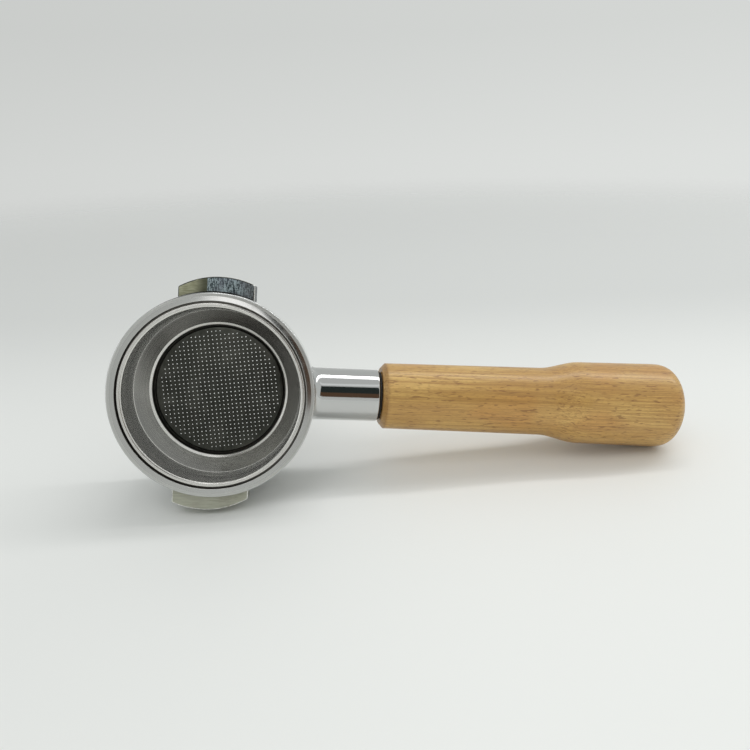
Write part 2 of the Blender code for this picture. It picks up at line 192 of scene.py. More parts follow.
def frames():
    """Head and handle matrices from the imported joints' axes."""
    joints = {joint["name"]: joint for joint in frame["joints"]}
    mouth = Vector(joints["basket_lift"]["axis"]).normalized()
    along = Vector(joints["handle_unscrew"]["axis"]).normalized()
    neck_end = Vector(joints["handle_unscrew"]["pos_m"])
    to_neck = (along - mouth * along.dot(mouth)).normalized()
    side = mouth.cross(to_neck)
    rim = neck_end - along * NECK_END * MM - to_neck * RIM_FRAME_R * MM + mouth * NECK_DEPTH * MM
    head = Matrix((to_neck, side, mouth)).transposed().to_4x4()
    head.translation = rim
    handle = Matrix((side.cross(along), side, along)).transposed().to_4x4()
    handle.translation = neck_end
    droop = math.atan2(-along.dot(mouth), along.dot(to_neck))
    return head, handle, droop


HEAD, HANDLE, DROOP = frames()


# ---------------------------------------------------------------- mesh helpers

def rounded(corners, closed=False, steps=6):
    """Outline through (r, z, fillet) corners, each corner turned into an arc. A short straight
    run is kept beside each arc so that the flats next to it shade flat."""
    count = len(corners)
    points = []
    for i, (r, z, fillet) in enumerate(corners):
        here = np.array((r, z), float)
        if not fillet or (not closed and i in (0, count - 1)):
            points.append(here)
            continue
        before = np.array(corners[i - 1][:2]) - here
        after = np.array(corners[(i + 1) % count][:2]) - here
        room = CORNER_SHARE * min(np.linalg.norm(before), np.linalg.norm(after))
        before /= np.linalg.norm(before)
        after /= np.linalg.norm(after)
        half = math.acos(np.clip(before.dot(after), -1, 1)) / 2
        run = min(fillet / math.tan(half), room)
        turn = math.pi - 2 * half
        middle = (before + after) / np.linalg.norm(before + after)
        centre = here + middle * run / math.cos(half)
        first = here + before * run - centre
        last = here + after * run - centre
        if run + CORNER_HOLD < room:
            points.append(here + before * (run + CORNER_HOLD))
        for k in range(steps + 1):
            a = k / steps
            spin = (math.sin((1 - a) * turn) * first + math.sin(a * turn) * last) / math.sin(turn)
            points.append(centre + spin)
        if run + CORNER_HOLD < room:
            points.append(here + after * (run + CORNER_HOLD))
    return [tuple(p) for p in points]


def turn_angles(steps):
    return np.arange(steps) * math.tau / steps


def row_about_z(angles, radius, z):
    """Points round the Z axis; radius and z may vary with the angle."""
    return np.stack([radius * np.cos(angles), radius * np.sin(angles), z + 0 * angles], axis=1)


def ring_of(radius, z, steps=ROUND_STEPS):
    """Points on a circle about Z. A zero radius is a pole."""
    if radius < 1e-9:
        return np.array([(0.0, 0.0, z)])
    return row_about_z(turn_angles(steps), radius, z)


def skin(name, rows, closed=False):
    """Mesh of quads between successive closed rows of points, which run down the outer side.
    A row of one point is a pole; closed joins the last row to the first."""
    verts = np.concatenate(rows) * MM
    starts = np.cumsum([0] + [len(row) for row in rows])
    pairs = list(zip(range(len(rows) - 1), range(1, len(rows))))
    if closed:
        pairs.append((len(rows) - 1, 0))
    faces = []
    for upper, lower in pairs:
        n_up, n_low = len(rows[upper]), len(rows[lower])
        for j in range(max(n_up, n_low)):
            nxt = j + 1
            corner = [starts[upper] + j % n_up, starts[lower] + j % n_low,
                      starts[lower] + nxt % n_low, starts[upper] + nxt % n_up]
            if n_up == 1:
                corner.pop()
            elif n_low == 1:
                corner.pop(2)
            faces.append([int(c) for c in corner])
    mesh = bpy.data.meshes.new(name)
    mesh.from_pydata(verts.tolist(), [], faces)
    return mesh


def lathe(name, profile, steps=ROUND_STEPS, closed=False):
    return skin(name, [ring_of(r, z, steps) for r, z in profile], closed)


def place(name, mesh, matrix, body, node, materials, crisp=32.0):
    """Adds a finished piece, moved from its own frame into the world, riding on a body and
    standing for a CAD node. Its own coordinates stay in the mesh for the materials."""
    own = mesh.attributes.new("own_place", "FLOAT_VECTOR", "POINT")
    coordinates = np.empty(len(mesh.vertices) * 3)
    mesh.vertices.foreach_get("co", coordinates)
    own.data.foreach_set("vector", coordinates)
    mesh.transform(matrix)
    obj = bpy.data.objects.new(name, mesh)
    bpy.context.scene.collection.objects.link(obj)
    for mat in materials:
        mesh.materials.append(mat)
    mesh.shade_smooth()
    mesh.set_sharp_from_angle(angle=math.radians(crisp))
    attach(obj, body)
    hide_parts(node)
    return obj


# ---------------------------------------------------------------- material helpers

class Recipe:
    """A node material with a Principled shader, written as a few calls."""

    def __init__(self, name, **shader):
        self.material = bpy.data.materials.new(name)
        self.material.use_nodes = True
        self.tree = self.material.node_tree
        self.shader = self.tree.nodes["Principled BSDF"]
        self.set(self.shader, shader)
        self.place = self.add("ShaderNodeAttribute", attribute_name="own_place").outputs["Vector"]

    def set(self, node, inputs):
        for key, value in inputs.items():
            socket = node.inputs[key if isinstance(key, int) else key.replace("_", " ")]
            if isinstance(value, bpy.types.NodeSocket):
                self.tree.links.new(value, socket)
            elif isinstance(value, tuple) and socket.type == "RGBA":
                socket.default_value = (*value, 1.0)
            else:
                socket.default_value = value

    def add(self, kind, inputs=None, **attributes):
        node = self.tree.nodes.new(kind)
        for key, value in attributes.items():
            setattr(node, key, value)
        self.set(node, inputs or {})
        return node

    def math(self, operation, *values):
        node = self.add("ShaderNodeMath", dict(enumerate(values)), operation=operation)
        return node.outputs[0]

    def between(self, value, low, high, out_low=0.0, out_high=1.0):
        """Value mapped smoothly from low..high to out_low..out_high."""
        node = self.add("ShaderNodeMapRange", {
            "Value": value, "From_Min": low, "From_Max": high, "To_Min": out_low, "To_Max": out_high,
        }, interpolation_type="SMOOTHSTEP")
        return node.outputs[0]

    def mix(self, amount, first, second):
        node = self.add("ShaderNodeMix", {"Factor": amount, 6: first, 7: second}, data_type="RGBA")
        return node.outputs[2]

    def scaled(self, scale):
        """The piece's own coordinates times a scale for each axis."""
        node = self.add("ShaderNodeMapping", {"Vector": self.place, "Scale": scale})
        return node.outputs["Vector"]

    def noise(self, scale, detail=2.0, rough=0.5, warp=0.0, vector=None):
        node = self.add("ShaderNodeTexNoise", {
            "Vector": vector or self.place, "Scale": scale, "Detail": detail,
            "Roughness": rough, "Distortion": warp,
        })
        return node.outputs["Fac"]

    def turned_coordinate(self):
        """(radius, depth, 0): constant along each turned line about the piece's Z axis."""
        parts = self.add("ShaderNodeSeparateXYZ", {0: self.place})
        flat = self.add("ShaderNodeCombineXYZ", {0: parts.outputs[0], 1: parts.outputs[1]})
        radius = self.add("ShaderNodeVectorMath", {0: flat.outputs[0]}, operation="LENGTH")
        joined = self.add("ShaderNodeCombineXYZ", {0: radius.outputs["Value"], 1: parts.outputs[2]})
        return joined.outputs[0]

    def bump(self, height, strength, distance, normal=None):
        inputs = {"Height": height, "Strength": strength, "Distance": distance}
        if normal:
            inputs["Normal"] = normal
        return self.add("ShaderNodeBump", inputs).outputs[0]


# ---------------------------------------------------------------- materials

def chrome():
    """Polished chrome with a faint haze, wiping marks and the ripple left by hand polishing."""
    r = Recipe("polished_chrome", Base_Color=(0.57, 0.575, 0.57), Metallic=1.0)
    haze = r.noise(90.0, 4.0, 0.6)
    wipes = r.noise(1.0, 3.0, 0.7, vector=r.scaled((2500.0, 2500.0, 120.0)))
    ripple = r.noise(260.0, 2.0)
    r.set(r.shader, {
        "Roughness": r.math("ADD", r.between(haze, 0.35, 0.75, 0.045, 0.085),
                            r.between(wipes, 0.55, 0.8, 0.0, 0.05)),
        "Normal": r.bump(ripple, 0.12, 0.00002, r.bump(wipes, 0.10, 0.00001)),
    })
    return r.material


def turned_metal(name, colour, dark, rough, line_scale, strength):
    """Metal with concentric cutting lines and a slight change of tone from band to band."""
    r = Recipe(name, Metallic=1.0)
    line = r.turned_coordinate()
    fine = r.noise(line_scale, 2.0, 0.6, vector=line)
    bands = r.noise(line_scale / 9.0, 2.0, 0.5, vector=line)
    smear = r.noise(140.0, 3.0)
    r.set(r.shader, {
        "Base_Color": r.mix(r.between(bands, 0.3, 0.7), dark, colour),
        "Roughness": r.math("ADD", r.between(fine, 0.3, 0.7, rough * 0.85, rough * 1.15),
                            r.between(smear, 0.45, 0.75, 0.0, 0.06)),
        "Normal": r.bump(fine, strength, 0.00001),
    })
    return r.material


def milled_ear():
    """Bare cast metal, worked with a coarse mill; the leading third is ground smooth. The milled part
    darkens towards the far end with painted shade, and the ground third's yellowish tone is painted
    light that darkens towards the split with painted shade.
    """
    r = Recipe("raw_ear_metal", Metallic=1.0)
    parts = r.add("ShaderNodeSeparateXYZ", {0: r.place})
    side = r.math("MULTIPLY", parts.outputs[0], r.math("SIGN", parts.outputs[1]))
    lead = r.between(side, -(EAR_LEAD_START + 0.25) * MM, -(EAR_LEAD_START - 0.05) * MM, 1.0, 0.0)
    speckle = r.noise(1900.0, 5.0, 0.8)
    streaks = r.noise(1.0, 4.0, 0.7, vector=r.scaled((2800.0, 420.0, 2400.0)))
    coarse = r.math("ADD", r.math("MULTIPLY", speckle, 0.5), r.math("MULTIPLY", streaks, 0.5))
    satin = r.noise(1.0, 3.0, 0.6, vector=r.scaled((180.0, 3000.0, 3000.0)))
    patch = r.noise(260.0, 2.0)
    rough_tone = r.mix(r.between(coarse, 0.44, 0.57), (0.022, 0.034, 0.038), (0.44, 0.53, 0.56))
    rough_tone = r.mix(r.between(patch, 0.4, 0.65, 0.0, 0.35), rough_tone, (0.22, 0.23, 0.27))
    # painted shade: the milled face darkened towards the ear's far end
    shade = r.between(side, 5.0 * MM, EAR_HALF_WIDTH * MM, 0.0, 0.5)
    rough_tone = r.mix(shade, rough_tone, (0.10, 0.085, 0.08))
    # painted shade: the ground third darkened towards the split
    dim = r.between(side, -8.5 * MM, -(EAR_LEAD_START + 0.6) * MM, 0.0, 1.0)
    # painted light: the ground third's yellowish tone
    ground_tone = r.mix(r.between(satin, 0.35, 0.65), (0.27, 0.27, 0.175), (0.42, 0.42, 0.30))
    ground_tone = r.mix(r.math("MULTIPLY", dim, 0.85), ground_tone, (0.06, 0.065, 0.045))
    height = r.math("ADD", r.math("MULTIPLY", coarse, r.math("SUBTRACT", 1.0, lead)),
                    r.math("MULTIPLY", satin, 0.12))
    r.set(r.shader, {
        "Base_Color": r.mix(lead, rough_tone, ground_tone),
        "Roughness": r.math("ADD", r.between(lead, 0.0, 1.0, 0.40, 0.36),
                            r.between(coarse, 0.3, 0.7, 0.0, 0.12)),
        "Normal": r.bump(height, 0.9, 0.00018),
    })
    return r.material


def ear_edge(name, tone):
    """Softened corners of an ear, worn smoother than its faces. The tone passed in is painted: shade
    on the upper ear's corners, highlights on the lower ear's corners and on both far ends.
    """
    r = Recipe(name, Metallic=1.0)
    worn = r.noise(900.0, 3.0, 0.6)
    r.set(r.shader, {
        "Base_Color": r.mix(r.between(worn, 0.35, 0.65), tuple(0.75 * t for t in tone), tone),
        "Roughness": r.between(worn, 0.3, 0.7, 0.22, 0.36),
        "Normal": r.bump(worn, 0.2, 0.00002),
    })
    return r.material


def satin_ear():
    """The lower ear: the same metal, belt ground along its length."""
    r = Recipe("ground_ear_metal", Metallic=1.0)
    streaks = r.noise(1.0, 4.0, 0.65, vector=r.scaled((160.0, 2600.0, 2600.0)))
    cloud = r.noise(220.0, 3.0)
    tone = r.mix(r.between(streaks, 0.35, 0.65), (0.33, 0.335, 0.27), (0.46, 0.465, 0.385))
    r.set(r.shader, {
        "Base_Color": r.mix(r.between(cloud, 0.4, 0.7, 0.0, 0.25), tone, (0.36, 0.34, 0.29)),
        "Roughness": r.between(streaks, 0.3, 0.7, 0.30, 0.46),
        "Normal": r.bump(streaks, 0.35, 0.00004),
    })
    return r.material


def drawn_steel():
    """Basket wall and lip: deep-drawn stainless, half polished, with draw lines round the wall."""
    r = Recipe("basket_steel", Metallic=0.75)
    line = r.turned_coordinate()
    draw = r.noise(2600.0, 3.0, 0.6, vector=line)
    band = r.noise(620.0, 2.0, 0.5, vector=line)
    cloud = r.noise(120.0, 3.0)
    r.set(r.shader, {
        "Base_Color": r.mix(r.between(band, 0.35, 0.65), (0.76, 0.755, 0.73), (0.90, 0.895, 0.87)),
        "Roughness": r.math("ADD", r.between(draw, 0.3, 0.7, 0.15, 0.22),
                            r.between(cloud, 0.4, 0.7, 0.0, 0.04)),
        "Normal": r.bump(draw, 0.3, 0.00001, r.bump(band, 0.3, 0.00003)),
    })
    return r.material


def painted_shade_shoulder_steel():
    """Sloped shoulder of the basket, left satin by the drawing die, its steel painted dark as painted
    shade deep in the basket.
    """
    r = Recipe("basket_shoulder_painted_shade", Metallic=1.0)
    line = r.turned_coordinate()
    draw = r.noise(2200.0, 3.0, 0.6, vector=line)
    grain = r.noise(2600.0, 3.0, 0.6)
    cloud = r.noise(110.0, 2.0)
    # painted shade: the shoulder's tones are far darker than the wall's steel
    tone = r.mix(r.between(draw, 0.35, 0.65), (0.25, 0.248, 0.236), (0.31, 0.308, 0.293))
    r.set(r.shader, {
        "Base_Color": r.mix(r.between(cloud, 0.4, 0.7, 0.0, 0.3), tone, (0.21, 0.208, 0.198)),
        "Roughness": r.between(draw, 0.3, 0.7, 0.15, 0.20),
        "Normal": r.bump(grain, 0.06, 0.00001, r.bump(draw, 0.15, 0.00001)),
    })
    return r.material


def painted_reflection_perforated_steel():
    """Basket base: rolled stainless, punched, with stains; its near-black tone is a painted dark
    reflection.
    """
    r = Recipe("basket_base_painted_reflection", Metallic=1.0)
    line = r.turned_coordinate()
    grain = r.noise(1.0, 3.0, 0.6, vector=r.scaled((3000.0, 260.0, 3000.0)))
    rings = r.noise(900.0, 2.0, vector=line)
    stain = r.noise(160.0, 4.0, 0.6)
    # painted reflection: the base's steel near black, as it mirrors the dark front
    tone = r.mix(r.between(grain, 0.3, 0.7), (0.032, 0.033, 0.028), (0.058, 0.059, 0.051))
    r.set(r.shader, {
        "Base_Color": r.mix(r.between(stain, 0.45, 0.75, 0.0, 0.6), tone, (0.095, 0.095, 0.083)),
        "Roughness": r.math("ADD", r.between(grain, 0.3, 0.7, 0.14, 0.22),
                            r.between(rings, 0.4, 0.7, 0.0, 0.05)),
        "Normal": r.bump(grain, 0.2, 0.00001),
    })
    return r.material


def burnt_painted_shade_steel():
    """Groove round the base, browned by coffee oil and painted near black as painted shade in the
    narrow groove.
    """
    r = Recipe("basket_groove_painted_shade", Metallic=0.6)
    crust = r.noise(900.0, 4.0, 0.6)
    r.set(r.shader, {
        # painted shade: near-black tone in the narrow groove, over the coffee-oil browning
        "Base_Color": r.mix(r.between(crust, 0.35, 0.7), (0.015, 0.015, 0.013), (0.055, 0.05, 0.04)),
        "Roughness": r.between(crust, 0.3, 0.7, 0.35, 0.55),
        "Normal": r.bump(crust, 0.3, 0.00003),
    })
    return r.material


def wire_steel():
    r = Recipe("spring_steel", Metallic=1.0)
    draw = r.noise(1400.0, 3.0, 0.6)
    r.set(r.shader, {
        "Base_Color": r.mix(r.between(draw, 0.3, 0.7), (0.42, 0.42, 0.43), (0.60, 0.60, 0.61)),
        "Roughness": r.between(draw, 0.3, 0.7, 0.25, 0.42),
        "Normal": r.bump(draw, 0.2, 0.00001),
    })
    return r.material


def rubber():
    r = Recipe("black_rubber", Metallic=0.0)
    grain = r.noise(2600.0, 4.0, 0.6)
    dust = r.noise(420.0, 3.0)
    r.set(r.shader, {
        "Base_Color": r.mix(r.between(dust, 0.5, 0.8, 0.0, 0.5),
                            (0.012, 0.012, 0.012), (0.04, 0.038, 0.036)),
        "Roughness": r.between(grain, 0.3, 0.7, 0.55, 0.8),
        "Normal": r.bump(grain, 0.3, 0.00003),
    })
    return r.material


def brass():
    r = Recipe("insert_brass", Metallic=1.0)
    line = r.turned_coordinate()
    cut = r.noise(2400.0, 2.0, vector=line)
    stain = r.noise(380.0, 4.0)
    r.set(r.shader, {
        "Base_Color": r.mix(r.between(stain, 0.4, 0.7), (0.80, 0.58, 0.26), (0.55, 0.36, 0.15)),
        "Roughness": r.between(cut, 0.3, 0.7, 0.22, 0.4),
        "Normal": r.bump(cut, 0.3, 0.00001),
    })
    return r.material


def beech():
    """Oiled beech: growth lines along the handle, fine fibres and short dark ray flecks, and a
    darker front end, partly oil soaked into the chamfer's end grain and partly painted shade
    where the grip meets the neck."""
    r = Recipe("beech", Metallic=0.0, Coat_Weight=0.22, Coat_Roughness=0.22, Coat_IOR=1.5)
    along = r.add("ShaderNodeSeparateXYZ", {0: r.place}).outputs[2]
    wander = r.noise(1.0, 3.0, 0.5, vector=r.scaled((70.0, 70.0, 14.0)))
    blotch = r.noise(1.0, 2.0, 0.5, vector=r.scaled((130.0, 130.0, 60.0)))
    rings = r.noise(1.0, 3.0, 0.55, warp=0.4, vector=r.scaled((120.0, 900.0, 7.0)))
    fibre = r.noise(1.0, 3.0, 0.6, vector=r.scaled((2600.0, 2600.0, 90.0)))
    rays = r.noise(1.0, 1.0, 0.4, vector=r.scaled((1900.0, 1200.0, 300.0)))
    pores = r.noise(1.0, 2.0, 0.5, vector=r.scaled((5200.0, 5200.0, 600.0)))
    tone = r.mix(r.between(wander, 0.35, 0.65), (0.54, 0.31, 0.082), (0.71, 0.46, 0.145))
    tone = r.mix(r.between(blotch, 0.45, 0.70, 0.0, 0.5), tone, (0.56, 0.31, 0.090))
    warm = r.noise(1.0, 1.0, 0.4, vector=r.scaled((55.0, 55.0, 38.0)))
    tone = r.mix(r.between(warm, 0.52, 0.68, 0.0, 0.6), tone, (0.55, 0.27, 0.062))
    tone = r.mix(r.between(rings, 0.48, 0.60, 0.0, 0.42), tone, (0.38, 0.20, 0.05))
    lines = r.noise(1.0, 3.0, 0.6, warp=0.6, vector=r.scaled((420.0, 2400.0, 16.0)))
    tone = r.mix(r.between(lines, 0.50, 0.60, 0.0, 0.45), tone, (0.36, 0.18, 0.046))
    tone = r.mix(r.between(fibre, 0.48, 0.66, 0.0, 0.5), tone, (0.33, 0.165, 0.044))
    tone = r.mix(r.between(pores, 0.52, 0.70, 0.0, 0.4), tone, (0.26, 0.13, 0.038))
    tone = r.mix(r.between(rays, 0.60, 0.70, 0.0, 0.6), tone, (0.22, 0.095, 0.028))
    chamfer_end = GRIP_START + GRIP_CHAMFER
    # painted shade and oil soak: the chamfer and front face darkened
    front = r.between(along, (chamfer_end - 0.2) * MM, (chamfer_end + 1.1) * MM, 0.38, 0.0)
    tone = r.mix(front, tone, (0.24, 0.105, 0.03))
    grain = r.math("ADD", r.math("MULTIPLY", pores, 0.5), r.math("MULTIPLY", fibre, 0.5))
    r.set(r.shader, {
        "Base_Color": tone,
        "Roughness": r.math("ADD", r.between(wander, 0.3, 0.7, 0.36, 0.46),
                            r.between(rays, 0.6, 0.75, 0.0, 0.1)),
        "Normal": r.bump(grain, 0.3, 0.00006, r.bump(blotch, 0.5, 0.0003)),
    })
    return r.material


# ---------------------------------------------------------------- head pieces

def make_ring():
    """Turned head ring: chromed outside, satin rim face, bright seal face and a darker bore."""
    step_start, step_end = BACK_STEP
    groove_top, groove_bottom = GROOVE
    corners = [
        (FLAT_R, 0.0, 0.0),
        (RIM_R, -RIM_FALL, RIM_ROUNDING),
        (RIM_R, -step_start, STEP_ROUNDING[0]),
        (BACK_R, -step_end, STEP_ROUNDING[1]),
        (BACK_R, -RING_HEIGHT, BACK_ROUNDING),
        (BORE_R, -RING_HEIGHT, BACK_ROUNDING),
        (BORE_R, -groove_bottom, TURNED_EDGE),
        (GROOVE_R, -groove_bottom, TURNED_EDGE),
        (GROOVE_R, -groove_top, TURNED_EDGE),
        (BORE_R, -groove_top, TURNED_EDGE),
        (BORE_R, -SEAT_DEPTH, SEAT_CORNER),
        (SEAT_R, -SEAT_DEPTH, TURNED_EDGE),
        (SEAT_R, 0.0, TURNED_EDGE),
    ]
    mesh = lathe("body_ring", rounded(corners, closed=True), closed=True)
    rim_face, bore, seal_face = 1, 2, 3
    for face in mesh.polygons:
        radius = math.hypot(face.center.x, face.center.y) / MM
        depth = -face.center.z / MM
        if radius < FLAT_R and depth < 0.02:
            face.material_index = seal_face
        elif radius < RIM_R - 0.3 and depth < 0.12:
            face.material_index = rim_face
        elif radius < BACK_R - 0.6:
            face.material_index = bore
    return place("body_ring_turned", mesh, HEAD, "head", "body_ring", [
        chrome(),
        turned_metal("rim_face_steel", (0.60, 0.605, 0.585), (0.52, 0.525, 0.505), 0.38, 5200.0, 0.6),
        turned_metal("bore_steel", (0.30, 0.29, 0.27), (0.20, 0.19, 0.175), 0.3, 2600.0, 0.5),
        turned_metal("seal_face_steel", (0.58, 0.58, 0.565), (0.52, 0.52, 0.505), 0.10, 4200.0, 0.12),
    ])


def make_basket():
    """Wall, lip and shoulder drawn in one piece with the punched base."""
    moat_in, moat_out = MOAT_R
    corners = [
        (BASE_FLAT_R, -BASE_DEPTH, 0.0),
        (moat_in - 0.2, -BASE_DEPTH, 0.3),
        (moat_in, -MOAT_DEPTH, 0.15),
        (moat_out, -MOAT_DEPTH, 0.15),
        (WELL_R, -SHOULDER_DEPTH - 0.6, 0.3),
        (SHOULDER_R, -SHOULDER_DEPTH, 0.3),
        (WALL_R, -WALL_DEPTH, 1.3),
        (WALL_R, -BEAD_DEPTH - BEAD_HALF_FOOT, 0.6),
        (WALL_R + BEAD_OUT, -BEAD_DEPTH - BEAD_HALF, 0.6),
        (WALL_R + BEAD_OUT, -BEAD_DEPTH + BEAD_HALF, 0.6),
        (WALL_R, -BEAD_DEPTH + BEAD_HALF_FOOT, 0.6),
        (WALL_R, -LIP_TOP, 1.1),
        (LIP_R, -LIP_TOP, 0.7),
        (LIP_R, -LIP_UNDERSIDE, 0.2),
        (WALL_R + SHEET, -LIP_UNDERSIDE, 0.3),
        (WALL_R + SHEET, -BEAD_DEPTH + BEAD_HALF_FOOT, 0.6),
        (WALL_R + SHEET + BEAD_OUT, -BEAD_DEPTH + BEAD_HALF, 0.6),
        (WALL_R + SHEET + BEAD_OUT, -BEAD_DEPTH - BEAD_HALF, 0.6),
        (WALL_R + SHEET, -BEAD_DEPTH - BEAD_HALF_FOOT, 0.6),
        (WALL_R + SHEET, -WALL_DEPTH - 0.2, 1.8),
        (SHOULDER_R + 0.4, -SHOULDER_DEPTH - 0.4, 0.5),
        (WELL_R + SHEET, -SHOULDER_DEPTH - 0.8, 0.3),
        (WELL_R + SHEET, -MOAT_DEPTH - 0.4, 0.5),
        (moat_in - 0.5, -MOAT_DEPTH - 0.4, 0.4),
        (BASE_FLAT_R, -BASE_DEPTH - SHEET, 0.0),
    ]
    shell = lathe("filter_basket", rounded(corners))
    joined = bmesh.new()
    joined.from_mesh(shell)
    add_punched_base(joined)
    bmesh.ops.remove_doubles(joined, verts=joined.verts[:], dist=1e-6)
    bmesh.ops.recalc_face_normals(joined, faces=joined.faces[:])
    joined.to_mesh(shell)
    joined.free()
    base, groove, shoulder, bright = 1, 2, 3, 4
    for face in shell.polygons:
        radius = math.hypot(face.center.x, face.center.y) / MM
        depth = -face.center.z / MM
        if radius < moat_in - 0.1:
            face.material_index = base
        elif radius < WELL_R + 0.02 and depth > SHOULDER_DEPTH + 0.7:
            face.material_index = groove
        elif radius < SHOULDER_R + 0.05 or depth < LIP_TOP + 1.2:
            face.material_index = bright
        elif radius < WALL_R - 0.9 and face.normal.z > 0.2:
            face.material_index = shoulder
    return place("filter_basket_punched", shell, HEAD, "basket", "filter_basket", [
        drawn_steel(), painted_reflection_perforated_steel(), burnt_painted_shade_steel(), painted_shade_shoulder_steel(),
        turned_metal("basket_lip_steel", (0.78, 0.77, 0.745), (0.66, 0.65, 0.62), 0.24, 3600.0, 0.4),
    ])


def hole_centres():
    """Square grid of hole centres inside the punched field."""
    reach = int(HOLE_FIELD_R / HOLE_PITCH) + 1
    cos, sin = math.cos(HOLE_TURN), math.sin(HOLE_TURN)
    centres = []
    for i in range(-reach, reach + 1):
        for j in range(-reach, reach + 1):
            x, y = (i + HOLE_SHIFT[0]) * HOLE_PITCH, (j + HOLE_SHIFT[1]) * HOLE_PITCH
            if math.hypot(x, y) < HOLE_FIELD_R - HOLE_R:
                centres.append((x * cos - y * sin, x * sin + y * cos))
    return centres


def add_punched_base(joined):
    """Adds the two faces of the base and the walls of its holes."""
    rim = ring_of(BASE_FLAT_R, 0.0)[:, :2]
    circle = ring_of(HOLE_R, 0.0, HOLE_SIDES)[:, :2]
    centres = np.array(hole_centres())
    points = np.concatenate([rim] + [circle + centre for centre in centres])
    loops = [range(len(rim))]
    for k in range(len(centres)):
        start = len(rim) + k * HOLE_SIDES
        loops.append(range(start, start + HOLE_SIDES))
    edges = [(loop[i - 1], loop[i]) for loop in loops for i in range(len(loop))]
    made = delaunay_2d_cdt([Vector(p) for p in points], edges, [], 0, 1e-6)
    flat = np.array(made[0])
    corners = np.array(made[2])
    middle = flat[corners].mean(axis=1)
    gap = np.linalg.norm(middle[:, None] - centres[None], axis=2).min(axis=1)
    corners = corners[gap > HOLE_R * 0.9]
    fronts, backs = [
        [joined.verts.new((x * MM, y * MM, -depth * MM)) for x, y in flat]
        for depth in (BASE_DEPTH, BASE_DEPTH + SHEET)
    ]
    for a, b, c in corners:
        joined.faces.new((fronts[a], fronts[b], fronts[c]))
        joined.faces.new((backs[c], backs[b], backs[a]))
    for loop in loops[1:]:
        for i in range(len(loop)):
            a, b = loop[i - 1], loop[i]
            joined.faces.new((fronts[b], fronts[a], backs[a], backs[b]))


def make_spring():
    """Open ring of round wire with three shallow lobes and slightly turned-in ends."""
    sides = turn_angles(WIRE_SIDES)[:, None]
    up = np.array((0.0, 0.0, 1.0))
    rows = []
    for angle in np.linspace(SPRING_OPEN / 2, math.tau - SPRING_OPEN / 2, SPRING_STATIONS):
        radius = SPRING_R + SPRING_LOBE * math.cos(3 * angle)
        out = np.array((math.cos(angle), math.sin(angle), 0.0))
        centre = out * radius - up * SPRING_DEPTH
        rows.append(centre + WIRE_R * (np.cos(sides) * out + np.sin(sides) * up))
    ends = []
    for row, way in ((rows[0], -1), (rows[-1], 1)):
        centre = row.mean(axis=0)
        along = np.cross(up, centre / np.linalg.norm(centre[:2])) * way
        small = centre + (row - centre) * 0.75 + along * 0.25
        ends.append((small, (centre + along * 0.35)[None]))
    rows = [ends[0][1], ends[0][0]] + rows + [ends[1][0], ends[1][1]]
    mesh = skin("basket_spring", rows)
    fix_normals(mesh)
    return place("basket_spring_wire", mesh, HEAD, "head", "basket_spring", [wire_steel()])


def fix_normals(mesh):
    """Turns every face of a closed mesh outwards."""
    shape = bmesh.new()
    shape.from_mesh(mesh)
    bmesh.ops.recalc_face_normals(shape, faces=shape.faces[:])
    shape.to_mesh(mesh)
    shape.free()


